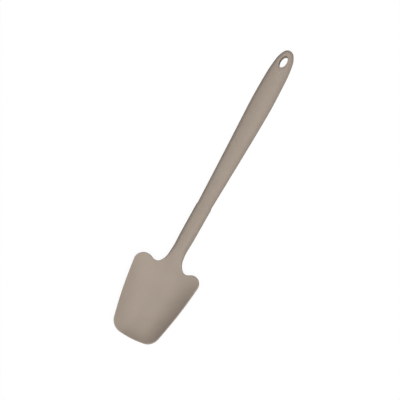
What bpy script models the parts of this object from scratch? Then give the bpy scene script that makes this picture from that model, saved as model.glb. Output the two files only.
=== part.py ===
"""Serving spoon: a silicone head and a silicone handle moulded over one stiff core.

X runs across the spoon, Y from the lip to the hanging end, Z up. The spoon lies on its back,
hollow side up, and the origin is on the table under its middle. Sizes are in metres. Places
along the head are measured from the lip, and places on the handle from its tip.
"""
from math import cos, pi, radians, sin, tan

import bmesh
import bpy
import numpy as np
from mathutils import Vector

# Whole spoon
LENGTH = 0.290
SLEEVE_END = 0.133            # the head moulding ends here, and the handle moulding begins
SLEEVE_STEP = 0.0004          # how far the sleeve stands proud of the handle
SEAM_GAP = 0.0003             # between the two mouldings
CORE_EASE = 0.0003            # between the core and the mouldings

# Outline of the head: half widths and places of its corners before they are rounded
LIP_CROWN_X = 0.0035
LIP_CROWN_RADIUS = 0.0562
LIP_CORNER_X = 0.0202
LIP_CORNER_Y = 0.0017
LIP_CORNER_RADIUS = 0.0120
SIDE_X = 0.0283
SIDE_Y = 0.0370
SIDE_RADIUS = 0.3641
SHOULDER_X = 0.0330
SHOULDER_Y = 0.0785
SHOULDER_RADIUS = 0.0086
DIP_X = 0.0132
DIP_Y = 0.0694
DIP_RADIUS = 0.0060
NECK_ROOT_X = 0.0075
NECK_ROOT_Y = 0.0772
NECK_ROOT_RADIUS = 0.0146
NECK_WAIST_X = 0.0064
NECK_WAIST_Y = 0.0882
NECK_WAIST_RADIUS = 0.0556
NECK_SWELL_X = 0.0069
NECK_SWELL_Y = 0.1002
NECK_SWELL_RADIUS = 0.0320
SLEEVE_X = 0.0071

# Outline of the handle, measured from its tip
TIP_CROWN_X = 0.0031
TIP_CROWN_RADIUS = 0.0072
TIP_SIDE_X = 0.0073
TIP_SIDE_Y = 0.0065
TIP_SIDE_RADIUS = 0.0272
GRIP_END_X = 0.0094
GRIP_END_Y = 0.0200
GRIP_END_RADIUS = 0.1168
GRIP_X = 0.0103
GRIP_Y = 0.0521
GRIP_RADIUS = 0.3727

# Heights and walls of the scoop
RIM_HEIGHT = 0.0154           # the rim, above the table
LIP_CORNER_HEIGHT = 0.0145
LIP_UNDER_HEIGHT = 0.0098     # the underside of the lip's middle, above the table
FLOOR_X = 0.0056              # half width of the scoop's level floor
FLOOR_START = 0.026
FLOOR_END = 0.046
FLOOR_THICKNESS = 0.0040
RIM_THICKNESS = 0.0024
LIP_THICKNESS = 0.0014
LIP_TAPER = 0.022             # length over which the lip thickens to the floor
RIM_RAMP = 0.030              # length over which the rim climbs from the lip's corners
BLADE_EDGE_RADIUS = 0.0010

# Neck and handle, as a rod with a crowned top and a flatter back
NECK_START = 0.058            # the neck begins to grow out of the scoop's floor
NECK_FULL = 0.088
NECK_SPREAD = 1.2             # how much later it grows, for each unit off the middle
NECK_FALL = 0.060             # from here the rod comes down from the rim's level to the table
NECK_THICKNESS = 0.0086
GRIP_THICKNESS = 0.0096
GRIP_FULL_FROM_TIP = 0.075    # the handle has its full thickness from here
REST_FROM_TIP = 0.058         # the handle's back lies on the table from here
TIP_THICKNESS = 0.0076
TIP_TAPER = 0.040             # length over which the handle thins to its tip
ROD_EDGE_RADIUS = 0.0040
CROWN_RADIUS = 0.017
BACK_FLAT_X = 0.0040
BACK_RADIUS = 0.020

# Hanging hole, an oval with a rounded rim that is dished towards the handle
HOLE_FROM_TIP = 0.0119
HOLE_HALF_WIDTH = 0.0033
HOLE_HALF_LENGTH = 0.0057
HOLE_RIM = 0.0009
HOLE_DISH = 0.0032
HOLE_LINING = 0.0012          # silicone between the hole and the core's eye

# Core
SIDE_SKIN = 0.0022            # silicone beside the core
FACE_SKIN = 0.0019            # silicone above and below the core
TONGUE_THICKNESS = 0.0014
TONGUE_START = 0.022
TONGUE_TIP_X = 0.0085
TONGUE_TIP_RADIUS = 0.0050
TONGUE_X = 0.0120
TONGUE_Y = 0.0560
TONGUE_RADIUS = 0.0060
TONGUE_EDGE_RADIUS = 0.0006
BAR_EDGE_RADIUS = 0.0018
ANCHOR_RADIUS = 0.0018        # holes in the core, through which the silicone meets itself
TONGUE_ANCHOR_ROWS = 3
TONGUE_ANCHOR_FIRST = 0.030
TONGUE_ANCHOR_PITCH = 0.012
TONGUE_ANCHOR_X = 0.0052
GRIP_ANCHORS = 4
GRIP_ANCHOR_FIRST_FROM_TIP = 0.038
GRIP_ANCHOR_PITCH = 0.028

# Fineness of the meshes
ARC_STEPS = 14                # steps in a quarter turn of an outline
SAME_PLACE = 1e-7             # points closer than this are one
TURN_WEIGHT = 0.012           # length that a turn of one radian counts for in spacing the rows
SHOULDER_SLANT = 0.45         # how steeply the rows climb to the shoulders' widest place
DIP_SLANT = 0.60              # how steeply they climb to the dips beside the neck
EDGE_STEPS = 3                # steps in the rounding of an edge
EDGE_CLEAR = 1.3              # radii from a closed end within which only the rounding has rows
LEAST_SQUARE = 0.3            # sine of the flattest slant at which an edge's columns still spread
WIDEST_EDGE = 0.8             # greatest share of a row that the rounding's columns take
INNER_COLUMNS = 6             # columns between the middle and that rounding
HOLE_SIDES = 24
HOLE_RINGS = 4                # rings in the rounding of the hanging hole's rim
ANCHOR_SIDES = 12
SMOOTH_ANGLE = radians(35)

# Colours, as sRGB shares
SILICONE_COLOUR = (0.655, 0.600, 0.552)
NYLON_COLOUR = (0.800, 0.780, 0.735)


def clear_scene():
    for thing in list(bpy.data.objects):
        bpy.data.objects.remove(thing, do_unlink=True)


def linear(share):
    return share / 12.92 if share <= 0.04045 else ((share + 0.055) / 1.055) ** 2.4


def plain_material(name, colour, roughness):
    material = bpy.data.materials.new(name)
    material.use_nodes = True
    shader = material.node_tree.nodes["Principled BSDF"]
    shader.inputs["Base Color"].default_value = [linear(share) for share in colour] + [1.0]
    shader.inputs["Roughness"].default_value = roughness
    shader.inputs["Metallic"].default_value = 0.0
    return material


def smooth(share):
    share = np.clip(share, 0.0, 1.0)
    return share * share * (3.0 - 2.0 * share)


# Outlines

def turn_at(corners, place):
    """Directions to the neighbours of a corner, and how far the path turns there."""
    here = Vector(corners[place][:2])
    back = (Vector(corners[place - 1][:2]) - here).normalized()
    ahead = (Vector(corners[place + 1][:2]) - here).normalized()
    return here, back, ahead, pi - back.angle(ahead)


def rounded_path(corners):
    """Points along a path whose inner corners (x, y, radius) are rounded.

    Also gives the number of the point in the middle of each corner's arc. Two roundings that
    would overlap on a short side share it.
    """
    last = len(corners) - 1
    reach = [0.0] * (last + 1)
    for place in range(1, last):
        reach[place] = corners[place][2] * tan(turn_at(corners, place)[3] / 2)
    share = [1.0] * (last + 1)
    for place in range(last):
        side = (Vector(corners[place + 1][:2]) - Vector(corners[place][:2])).length
        needed = reach[place] + reach[place + 1]
        if needed > side:
            share[place] = min(share[place], side / needed)
            share[place + 1] = min(share[place + 1], side / needed)
    points = [Vector(corners[0][:2])]
    middles = [0]
    for place in range(1, last):
        here, back, ahead, turn = turn_at(corners, place)
        tangent = reach[place] * share[place]
        radius = tangent / tan(turn / 2)
        start = here + back * tangent
        inward = (ahead - back * ahead.dot(back)).normalized()
        steps = max(2, 2 * round(turn / pi * ARC_STEPS))
        middles.append(len(points) + steps // 2)
        for step in range(steps + 1):
            angle = turn * step / steps
            point = start + inward * radius * (1 - cos(angle)) - back * radius * sin(angle)
            if step or (point - points[-1]).length > SAME_PLACE:
                points.append(point)
            else:
                middles[-1] -= 1
    middles.append(len(points))
    points.append(Vector(corners[last][:2]))
    return np.array(points), middles


def inset(corners, skin):
    """The same corners moved to the left of the path by a skin."""
    last = len(corners) - 1
    normals = []
    for place in range(last):
        ahead = Vector(corners[place + 1][:2]) - Vector(corners[place][:2])
        normals.append(Vector((-ahead.y, ahead.x)).normalized())
    moved = []
    for place, (x, y, radius) in enumerate(corners):
        before = normals[max(place - 1, 0)]
        after = normals[min(place, last - 1)]
        shift = (before + after) * skin / (1 + before.dot(after))
        left_turn = before.x * after.y - before.y * after.x > 0
        spared = max(radius - skin, 0.0) if left_turn else radius + skin
        moved.append((x + shift.x if x else 0.0, y + shift.y, spared if radius else 0.0))
    return moved


def head_corners():
    return [
        (0.0, 0.0, 0.0),
        (LIP_CROWN_X, 0.0, LIP_CROWN_RADIUS),
        (LIP_CORNER_X, LIP_CORNER_Y, LIP_CORNER_RADIUS),
        (SIDE_X, SIDE_Y, SIDE_RADIUS),
        (SHOULDER_X, SHOULDER_Y, SHOULDER_RADIUS),
        (DIP_X, DIP_Y, DIP_RADIUS),
        (NECK_ROOT_X, NECK_ROOT_Y, NECK_ROOT_RADIUS),
        (NECK_WAIST_X, NECK_WAIST_Y, NECK_WAIST_RADIUS),
        (NECK_SWELL_X, NECK_SWELL_Y, NECK_SWELL_RADIUS),
        (SLEEVE_X, SLEEVE_END, 0.0),
    ]


def grip_corners():
    """The handle's outline from its tip to the seam, measured from the tip."""
    return [
        (0.0, 0.0, 0.0),
        (TIP_CROWN_X, 0.0, TIP_CROWN_RADIUS),
        (TIP_SIDE_X, TIP_SIDE_Y, TIP_SIDE_RADIUS),
        (GRIP_END_X, GRIP_END_Y, GRIP_END_RADIUS),
        (GRIP_X, GRIP_Y, GRIP_RADIUS),
        (SLEEVE_X - SLEEVE_STEP, LENGTH - SLEEVE_END - SEAM_GAP, 0.0),
    ]


def core_corners(ease):
    """The core's outline from the tongue's end to the eye's end, grown by an ease."""
    waist = (NECK_WAIST_X, NECK_WAIST_Y, NECK_WAIST_RADIUS)
    seam = (SLEEVE_X - SLEEVE_STEP, SLEEVE_END, NECK_SWELL_RADIUS)
    handle = [(x, LENGTH - y, radius) for x, y, radius in reversed(grip_corners()[:-1])]
    inner = inset([waist, seam] + handle, SIDE_SKIN)
    bar_x, bar_y, _ = inner[0]
    tongue = [
        (0.0, TONGUE_START, 0.0),
        (TONGUE_TIP_X, TONGUE_START, TONGUE_TIP_RADIUS),
        (TONGUE_X, TONGUE_Y, TONGUE_RADIUS),
        (NECK_ROOT_X - SIDE_SKIN, NECK_ROOT_Y, NECK_ROOT_RADIUS),
        (bar_x, bar_y, NECK_WAIST_RADIUS),
    ]
    return inset(tongue + inner[1:], -ease)


# Heights of the surfaces, from the place across and the place from the lip

def wall_half_width(y):
    """Half width of the scoop's wall, a smooth curve through the outline's three side corners."""
    y = np.minimum(y, SHOULDER_Y)
    first = (SIDE_X - LIP_CORNER_X) / (SIDE_Y - LIP_CORNER_Y)
    second = (SHOULDER_X - SIDE_X) / (SHOULDER_Y - SIDE_Y)
    bend = (second - first) / (SHOULDER_Y - LIP_CORNER_Y)
    return LIP_CORNER_X + first * (y - LIP_CORNER_Y) + bend * (y - LIP_CORNER_Y) * (y - SIDE_Y)


def wall_share(x, y):
    """0 over the level floor, rising as a parabola to 1 at the rim."""
    share = (np.abs(x) - FLOOR_X) / (wall_half_width(y) - FLOOR_X)
    return np.maximum(share, 0.0) ** 2


def rod_share(x, y):
    """0 in the scoop, 1 in the neck and the handle."""
    start = NECK_START + NECK_SPREAD * np.abs(x)
    return smooth((y - start) / (NECK_FULL - NECK_START))


def rod_middle(y):
    """Height of the rod's middle, which comes down from the scoop's rim to the table's level."""
    neck = RIM_HEIGHT - NECK_THICKNESS / 2
    rest = GRIP_THICKNESS / 2
    fall = smooth((y - NECK_FALL) / (LENGTH - REST_FROM_TIP - NECK_FALL))
    return neck + (rest - neck) * fall


def handle_thickness(y):
    """Thickness of the handle before its tip thins, with the sleeve's step taken off."""
    seam = NECK_THICKNESS - 2 * SLEEVE_STEP
    growth = smooth((y - SLEEVE_END) / (LENGTH - GRIP_FULL_FROM_TIP - SLEEVE_END))
    return seam + (GRIP_THICKNESS - seam) * growth


def crown_fall(x):
    return x * x / (2 * CROWN_RADIUS)


def back_rise(x):
    return np.maximum(np.abs(x) - BACK_FLAT_X, 0.0) ** 2 / (2 * BACK_RADIUS)


def head_surfaces(x, y):
    """Upper and under surface of the head moulding, before its edges are rounded."""
    rod = rod_share(x, y)
    floor = LIP_THICKNESS + (FLOOR_THICKNESS - LIP_THICKNESS) * smooth(y / LIP_TAPER)
    wall = wall_share(x, y)
    blade = floor + (RIM_THICKNESS - floor) * wall
    thickness = (1 - rod) * blade + rod * NECK_THICKNESS
    middle_rod = rod_share(0.0, y)
    middle_thickness = (1 - middle_rod) * floor + middle_rod * NECK_THICKNESS
    lip_lift = LIP_UNDER_HEIGHT * np.clip(1 - y / FLOOR_START, 0.0, 1.0) ** 2
    neck_lift = smooth((y - FLOOR_END) / (NECK_FULL - FLOOR_END))
    middle_under = lip_lift + (rod_middle(y) - NECK_THICKNESS / 2) * neck_lift
    middle_top = middle_under + middle_thickness
    rim = LIP_CORNER_HEIGHT + (RIM_HEIGHT - LIP_CORNER_HEIGHT) * smooth(y / RIM_RAMP)
    rise = np.where(y < NECK_FULL, rim - middle_top, 0.0)
    surface = middle_top + rise * wall
    top = surface - rod * crown_fall(x)
    under = surface - thickness + rod * back_rise(x)
    return top, under


def handle_surfaces(x, y):
    """Upper and under surface of the handle moulding, before its edges are rounded."""
    thickness = handle_thickness(y)
    under = rod_middle(y) - thickness / 2
    thinning = (GRIP_THICKNESS - TIP_THICKNESS) * smooth((y - LENGTH + TIP_TAPER) / TIP_TAPER)
    return under + thickness - thinning - crown_fall(x), under + back_rise(x)


def core_surfaces(x, y, ease):
    """Upper and under surface of the core, which lies midway in the mouldings."""
    head_top, head_under = head_surfaces(x, y)
    handle_top, handle_under = handle_surfaces(x, y)
    in_handle = y > SLEEVE_END
    middle = np.where(in_handle, handle_top + handle_under, head_top + head_under) / 2
    thinning = (GRIP_THICKNESS - TIP_THICKNESS) * smooth((y - LENGTH + TIP_TAPER) / TIP_TAPER)
    bar = np.where(in_handle, handle_thickness(y) - thinning, NECK_THICKNESS - 2 * SLEEVE_STEP)
    rod = rod_share(x, y)
    half = (1 - rod) * TONGUE_THICKNESS / 2 + rod * (bar / 2 - FACE_SKIN) + ease
    return middle + half, middle - half


# Meshes

def distance_to_path(x, y, path):
    """Distance in plan from each point to the outline."""
    start = path[:-1]
    step = path[1:] - start
    point = np.stack([np.abs(x), y], axis=-1)[..., None, :]
    length = np.maximum((step ** 2).sum(axis=1), 1e-18)
    along = np.clip(((point - start) * step).sum(axis=-1) / length, 0.0, 1.0)
    nearest = start + along[..., None] * step
    return np.sqrt(((point - nearest) ** 2).sum(axis=-1)).min(axis=-1)


def path_measure(path):
    """How far along the path each point lies, in length with more weight where it turns."""
    steps = path[1:] - path[:-1]
    heading = np.unwrap(np.arctan2(steps[:, 1], steps[:, 0]))
    turns = np.abs(np.diff(heading, append=heading[-1]))
    return np.concatenate([[0.0], np.cumsum(np.hypot(*steps.T) + TURN_WEIGHT * turns)])


def point_at(path, measure, along):
    return np.stack([np.interp(along, measure, path[:, 0]), np.interp(along, measure, path[:, 1])])


def edge_offsets(radius):
    steps = np.arange(EDGE_STEPS + 1) / EDGE_STEPS
    return radius * (1 - np.cos(pi / 2 * steps))


def end_bulge(path, measure, share, end, corner):
    """How far a closed end's outline bulges from the straight line to its corner."""
    outline = point_at(path, measure, end + (corner - end) * share)
    middle = point_at(path, measure, np.array([end]))
    tip = point_at(path, measure, np.array([corner]))
    return outline - (middle + (tip - middle) * share)


def row_shares(path, measure, station, side, middle, edge_radius):
    """Places of a row's points between the middle line and the outline, finest at the edge."""
    row = np.array([side[0], side[1] - middle])
    width = np.hypot(*row)
    edge = edge_radius(*side)
    tangent = point_at(path, measure, station + edge) - point_at(path, measure, station - edge)
    squareness = abs(row[0] * tangent[1] - row[1] * tangent[0]) / (width * np.hypot(*tangent))
    radius = min(edge / max(squareness, LEAST_SQUARE), WIDEST_EDGE * width)
    offsets = edge_offsets(radius)[::-1] / width
    inner = np.linspace(0.0, 1 - offsets[0], INNER_COLUMNS + 1)
    return np.concatenate([inner[:-1], 1 - offsets])


def plan_grid(path, knots, edge_radius, closed_end):
    """Rows of points across an outline that is closed at its start, and maybe at its end.

    A knot is (place on the path, place on the middle line, rows up to the next knot). A row
    runs straight from the middle line to the outline, but near a closed end it takes on that
    end's outline.
    """
    measure = path_measure(path)
    places = [measure[knot[0]] for knot in knots]
    middles = [knot[1] for knot in knots]
    stations = []
    for place in range(len(knots) - 1):
        stations += list(np.linspace(places[place], places[place + 1], knots[place][2] + 1)[:-1])
    stations.append(places[-1])
    start_edge = edge_offsets(edge_radius(*path[knots[0][0]]))
    stations = [s for s in stations if s > places[0] + EDGE_CLEAR * start_edge[-1]]
    stations = [places[0] + offset for offset in start_edge] + stations
    if closed_end:
        end_edge = edge_offsets(edge_radius(*path[knots[-1][0]]))
        stations = [s for s in stations if s < places[-1] - EDGE_CLEAR * end_edge[-1]]
        stations += [places[-1] - offset for offset in reversed(end_edge)]
    rows = []
    for station in stations:
        side = point_at(path, measure, station)
        middle = np.interp(station, places, middles)
        share = row_shares(path, measure, station, side, middle, edge_radius)
        x = side[0] * share
        y = middle + (side[1] - middle) * share
        fade = max(0.0, 1 - (middle - middles[0]) / path[knots[0][0]][0]) ** 2
        bulge = end_bulge(path, measure, share, measure[0], places[0]) * fade
        if closed_end:
            fade = max(0.0, 1 - (middles[-1] - middle) / path[knots[-1][0]][0]) ** 2
            bulge = bulge + end_bulge(path, measure, share, measure[-1], places[-1]) * fade
        x = x + bulge[0]
        y = y + bulge[1]
        rows.append((np.concatenate([-x[:0:-1], x]), np.concatenate([y[:0:-1], y])))
    x = np.array([row[0] for row in rows])
    y = np.array([row[1] for row in rows])
    distance = distance_to_path(x, y, path)
    distance[:, [0, -1]] = 0.0
    distance[0] = 0.0
    if closed_end:
        distance[-1] = 0.0
    return x, y, distance


def rounded_edges(top, under, distance, radius):
    """The two surfaces brought together over the edge's radius."""
    inside = np.clip(1 - distance / radius, 0.0, 1.0)
    rounding = np.sqrt(1 - inside ** 2)
    middle = (top + under) / 2
    half = (top - under) / 2 * rounding
    return middle + half, middle - half


def body_mesh(name, x, y, top, under, distance):
    """A closed mesh from a grid's two surfaces, which share the points on the outline."""
    mesh = bmesh.new()
    rows, columns = x.shape
    upper = [[None] * columns for _ in range(rows)]
    lower = [[None] * columns for _ in range(rows)]
    for row in range(rows):
        for column in range(columns):
            place = (x[row, column], y[row, column] - LENGTH / 2)
            upper[row][column] = mesh.verts.new((*place, top[row, column]))
            shared = distance[row, column] == 0.0
            under_point = None if shared else mesh.verts.new((*place, under[row, column]))
            lower[row][column] = under_point or upper[row][column]
    for row in range(rows - 1):
        for column in range(columns - 1):
            corners = [(row, column), (row, column + 1), (row + 1, column + 1), (row + 1, column)]
            mesh.faces.new([upper[r][c] for r, c in corners])
            mesh.faces.new([lower[r][c] for r, c in reversed(corners)])
    if distance[-1].max() > 0.0:
        mesh.faces.new(list(reversed(upper[-1])) + lower[-1][1:-1])
    bmesh.ops.recalc_face_normals(mesh, faces=mesh.faces)
    bmesh.ops.triangulate(mesh, faces=mesh.faces)
    data = bpy.data.meshes.new(name)
    mesh.to_mesh(data)
    mesh.free()
    return data


def stack_mesh(name, rings):
    """A closed stack of rings, each a list of points, capped at both ends."""
    mesh = bmesh.new()
    levels = [[mesh.verts.new(point) for point in ring] for ring in rings]
    sides = len(levels[0])
    mesh.faces.new(list(reversed(levels[0])))
    mesh.faces.new(levels[-1])
    for lower, upper in zip(levels, levels[1:]):
        for side in range(sides):
            following = (side + 1) % sides
            mesh.faces.new((lower[side], lower[following], upper[following], upper[side]))
    data = bpy.data.meshes.new(name)
    mesh.to_mesh(data)
    mesh.free()
    return data


def oval(centre_x, centre_y, half_width, half_length, height, sides=HOLE_SIDES):
    """Points of an oval; its height is a function of the place from the lip."""
    ring = []
    for side in range(sides):
        angle = 2 * pi * side / sides
        y = centre_y + half_length * sin(angle)
        ring.append((centre_x + half_width * cos(angle), y - LENGTH / 2, height(y)))
    return ring


def oval_rod(name, centre_x, centre_y, half_width, half_length, sides):
    """A cutter's mesh: an upright oval rod through the whole height of the spoon."""
    low = oval(centre_x, centre_y, half_width, half_length, lambda y: -RIM_HEIGHT, sides)
    high = oval(centre_x, centre_y, half_width, half_length, lambda y: 2 * RIM_HEIGHT, sides)
    return stack_mesh(name, [low, high])


# Objects

def add_object(name, data, material=None):
    thing = bpy.data.objects.new(name, data)
    bpy.context.scene.collection.objects.link(thing)
    if material:
        data.materials.append(material)
    return thing


def cut(thing, cutters):
    """Cuts an object by others, which stay in the scene."""
    for cutter in cutters:
        boolean = thing.modifiers.new(cutter.name, "BOOLEAN")
        boolean.operation = "DIFFERENCE"
        boolean.object = cutter
        boolean.solver = "EXACT"
    bpy.context.view_layer.update()
    evaluated = thing.evaluated_get(bpy.context.evaluated_depsgraph_get())
    shaped = bpy.data.meshes.new_from_object(evaluated)
    thing.modifiers.clear()
    thing.data = shaped
    shaped.name = thing.name
    shaped.shade_smooth()
    shaped.set_sharp_from_angle(angle=SMOOTH_ANGLE)


def remove_all(cutters):
    for cutter in cutters:
        bpy.data.objects.remove(cutter, do_unlink=True)


def moulding_edge(x, y):
    rod = rod_share(x, y)
    return (1 - rod) * BLADE_EDGE_RADIUS + rod * ROD_EDGE_RADIUS


def core_edge(x, y, ease=0.0):
    rod = rod_share(x, y)
    return (1 - rod) * TONGUE_EDGE_RADIUS + rod * BAR_EDGE_RADIUS + ease


def make_head(material):
    path, middles = rounded_path(head_corners())
    _, _, corner, _, _, dip, _, waist, _, seam = middles
    widest = path[:, 0].argmax()
    knots = [
        (corner, 0.0, 14),
        (widest, path[widest][1] - SHOULDER_SLANT * path[widest][0], 12),
        (dip, path[dip][1] - DIP_SLANT * path[dip][0], 12),
        (waist, path[waist][1], 6),
        (seam, SLEEVE_END, 0),
    ]
    x, y, distance = plan_grid(path, knots, moulding_edge, False)
    top, under = head_surfaces(x, y)
    top, under = rounded_edges(top, under, distance, moulding_edge(x, y))
    return add_object("silicone_head", body_mesh("silicone_head", x, y, top, under, distance), material)


def make_grip(material):
    path, middles = rounded_path(grip_corners())
    _, corner, _, end, _, seam = middles
    knots = [
        (corner, 0.0, 9),
        (end, path[end][1], 12),
        (seam, path[seam][1], 0),
    ]
    x, from_tip, distance = plan_grid(path, knots, lambda x, y: ROD_EDGE_RADIUS, False)
    y = LENGTH - from_tip
    top, under = handle_surfaces(x, y)
    top, under = rounded_edges(top, under, distance, ROD_EDGE_RADIUS)
    return add_object("handle_grip", body_mesh("handle_grip", x, y, top, under, distance), material)


def core_mesh(name, ease):
    path, middles = rounded_path(core_corners(ease))
    _, tip, widest, root, _, seam, _, grip_end, _, corner, _ = middles
    knots = [
        (tip, path[0][1], 9),
        (widest, path[widest][1], 5),
        (root, path[root][1], 5),
        (seam, path[seam][1], 8),
        (grip_end, path[grip_end][1], 7),
        (corner, path[-1][1], 0),
    ]
    x, y, distance = plan_grid(path, knots, lambda x, y: core_edge(x, y, ease), True)
    top, under = core_surfaces(x, y, ease)
    top, under = rounded_edges(top, under, distance, core_edge(x, y, ease))
    return body_mesh(name, x, y, top, under, distance)


def anchor_places():
    """Places across and from the lip of the anchor holes in the core."""
    places = []
    for row in range(TONGUE_ANCHOR_ROWS):
        y = TONGUE_ANCHOR_FIRST + row * TONGUE_ANCHOR_PITCH
        places += [(-TONGUE_ANCHOR_X, y), (TONGUE_ANCHOR_X, y)]
    for number in range(GRIP_ANCHORS):
        places.append((0.0, LENGTH - GRIP_ANCHOR_FIRST_FROM_TIP - number * GRIP_ANCHOR_PITCH))
    return places


def core_body(name, ease, material=None):
    """The core, with its anchor holes and its eye, grown on every side by an ease."""
    core = add_object(name, core_mesh(name, ease), material)
    radius = ANCHOR_RADIUS - ease
    rods = [oval_rod("anchor", x, y, radius, radius, ANCHOR_SIDES) for x, y in anchor_places()]
    half_width = HOLE_HALF_WIDTH + HOLE_LINING - ease
    half_length = HOLE_HALF_LENGTH + HOLE_LINING - ease
    rods.append(oval_rod("eye", 0.0, LENGTH - HOLE_FROM_TIP, half_width, half_length, HOLE_SIDES))
    cutters = [add_object(rod.name, rod) for rod in rods]
    cut(core, cutters)
    remove_all(cutters)
    return core


def rim_ring(flare, height):
    """A ring of the hanging hole, wider by its rim and longer towards the handle as it flares."""
    centre = LENGTH - HOLE_FROM_TIP - (HOLE_DISH - HOLE_RIM) / 2 * flare
    half_width = HOLE_HALF_WIDTH + HOLE_RIM * flare
    half_length = HOLE_HALF_LENGTH + (HOLE_DISH + HOLE_RIM) / 2 * flare
    return oval(0.0, centre, half_width, half_length, height)


def hanging_hole():
    """The hole's cutter: an oval throat that flares to a rounded rim at each face."""
    angles = [pi / 2 * step / HOLE_RINGS for step in range(HOLE_RINGS + 1)]
    flares = [1 - cos(angle) for angle in angles] + [1.0]
    depths = [HOLE_RIM * (1 - sin(angle)) for angle in angles] + [-HOLE_RIM]
    upper = [rim_ring(flare, lambda y, depth=depth: float(handle_surfaces(0.0, y)[0]) - depth)
             for flare, depth in zip(flares, depths)]
    lower = [rim_ring(flare, lambda y, depth=depth: float(handle_surfaces(0.0, y)[1]) + depth)
             for flare, depth in zip(flares, depths)]
    return add_object("hanging_hole", stack_mesh("hanging_hole", lower[::-1] + upper))


def build():
    clear_scene()
    silicone = plain_material("silicone", SILICONE_COLOUR, 0.55)
    nylon = plain_material("glass_filled_nylon", NYLON_COLOUR, 0.45)
    core_body("stiffening_core", 0.0, nylon)
    room = core_body("core_room", CORE_EASE)
    hole = hanging_hole()
    cut(make_head(silicone), [room])
    cut(make_grip(silicone), [room, hole])
    remove_all([room, hole])


build()
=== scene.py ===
"""Looks of a silicone serving spoon: a shallow scoop and an oval handle, moulded over a stiff core.

Laid out as an add-on and run as a script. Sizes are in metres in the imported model's own frame:
X across the spoon, Y from the lip to the hanging end, Z up from the table that it lies on.
"""
from functools import partial
from math import cos, pi, radians, sin, tan

import bmesh
import bpy
import numpy as np
from bpy.props import FloatProperty, FloatVectorProperty, PointerProperty
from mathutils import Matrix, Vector


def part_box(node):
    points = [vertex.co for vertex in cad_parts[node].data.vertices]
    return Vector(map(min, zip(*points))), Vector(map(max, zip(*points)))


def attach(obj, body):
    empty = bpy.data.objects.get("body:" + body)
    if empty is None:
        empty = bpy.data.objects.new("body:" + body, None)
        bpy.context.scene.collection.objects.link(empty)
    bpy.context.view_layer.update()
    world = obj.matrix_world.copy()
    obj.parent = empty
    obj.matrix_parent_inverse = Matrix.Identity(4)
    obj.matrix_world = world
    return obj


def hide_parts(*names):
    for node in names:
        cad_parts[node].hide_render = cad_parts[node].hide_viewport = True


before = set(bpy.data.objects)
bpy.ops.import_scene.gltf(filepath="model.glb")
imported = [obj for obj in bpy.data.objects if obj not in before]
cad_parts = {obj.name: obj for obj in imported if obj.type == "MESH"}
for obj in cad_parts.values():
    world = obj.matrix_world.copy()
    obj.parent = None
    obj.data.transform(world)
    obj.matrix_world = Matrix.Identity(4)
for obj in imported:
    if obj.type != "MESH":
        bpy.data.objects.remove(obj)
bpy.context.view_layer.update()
HEAD_LOW, HEAD_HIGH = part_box("silicone_head")
GRIP_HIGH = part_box("handle_grip")[1]

bl_info = {
    "name": "Silicone serving spoon",
    "version": (1, 0, 0),
    "blender": (4, 5, 0),
    "location": "View3D > Sidebar > Spoon",
    "description": "Builds a silicone serving spoon around its packed solids, and a stage for it",
    "category": "Add Mesh",
}

# The half outline of each moulding: corners (across, along, radius) in millimetres, before they
# are rounded. The head is measured from its lip, and the handle from its hanging end.
HEAD_OUTLINE = [
    (0.0, 0.0, 0.0),          # middle of the lip
    (3.5, 0.0, 56.2),         # slow crown of the lip
    (20.2, 1.7, 12.0),        # lip corner
    (28.3, 37.0, 364.1),      # bowed side
    (33.0, 78.5, 8.6),        # shoulder
    (13.2, 69.4, 6.0),        # dip beside the neck
    (7.5, 77.2, 14.6),        # root of the neck
    (6.4, 88.2, 55.6),        # waist of the neck
    (6.9, 100.2, 32.0),       # swell of the neck
    (7.1, 133.0, 0.0),        # end of the sleeve
]
HANDLE_OUTLINE = [
    (0.0, 0.0, 0.0),          # middle of the hanging end
    (3.1, 0.0, 7.2),          # crown of the hanging end
    (7.3, 6.5, 27.2),         # side of the hanging end
    (9.4, 20.0, 116.8),       # end of the grip
    (10.3, 52.1, 372.7),      # widest place of the grip
    (6.7, 156.99, 0.0),       # seam with the sleeve, a hairline short of it
]
SIDE_CORNERS = slice(2, 5)    # lip corner, bowed side and shoulder, in the head's outline
MILLIMETRE = 0.001

# Fineness of the meshes
ARC_STEPS = 56                # steps in a quarter turn of an outline
TURN_WEIGHT = 0.012           # length that a turn of one radian counts for in spacing the rows
LIP_ROWS = 14                 # rows in the rounding of the lip
LIP_CLEARANCE = 1.3           # the next row lies at least this many of that rounding from the lip
SIDE_ROWS = 60                # rows from the lip's corner to the shoulder
SHOULDER_ROWS = 44            # rows round the shoulder into the dip
ROOT_ROWS = 44                # rows up the root of the neck
SLEEVE_ROWS = 40              # rows along the rest of the neck
STEP_ROWS = 8                 # rows in the soft step at the sleeve's end
SHOULDER_SLANT = 0.45         # how steeply the rows climb to the shoulder
DIP_SLANT = 0.60              # how steeply they climb to the dip
EDGE_COLUMNS = 10             # columns in the rounding of an edge
INNER_COLUMNS = 24            # columns between the middle line and that rounding
LEAST_SQUARE = 0.3            # sine of the flattest slant at which an edge's columns still spread
WIDEST_EDGE = 0.8             # greatest share of a row that the rounding's columns take
HANDLE_COLUMNS = 44           # columns across the handle
HANDLE_ROWS = 96              # rows from the eye's end to the seam
EYE_FROM_TIP = 0.030          # the rings round the hanging hole give way to rows here
EYE_STEPS = 52                # steps along each side of the outline beside the hole
EYE_RINGS = 30                # rings from the hole to the outline
SAME_PLACE = 1e-7             # points closer than this are one
LEAST_SQUARED_STEP = 1e-18    # keeps a step of no length from being divided by
SMOOTH_ANGLE = radians(40)    # faces that meet more sharply than this show an edge

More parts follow.
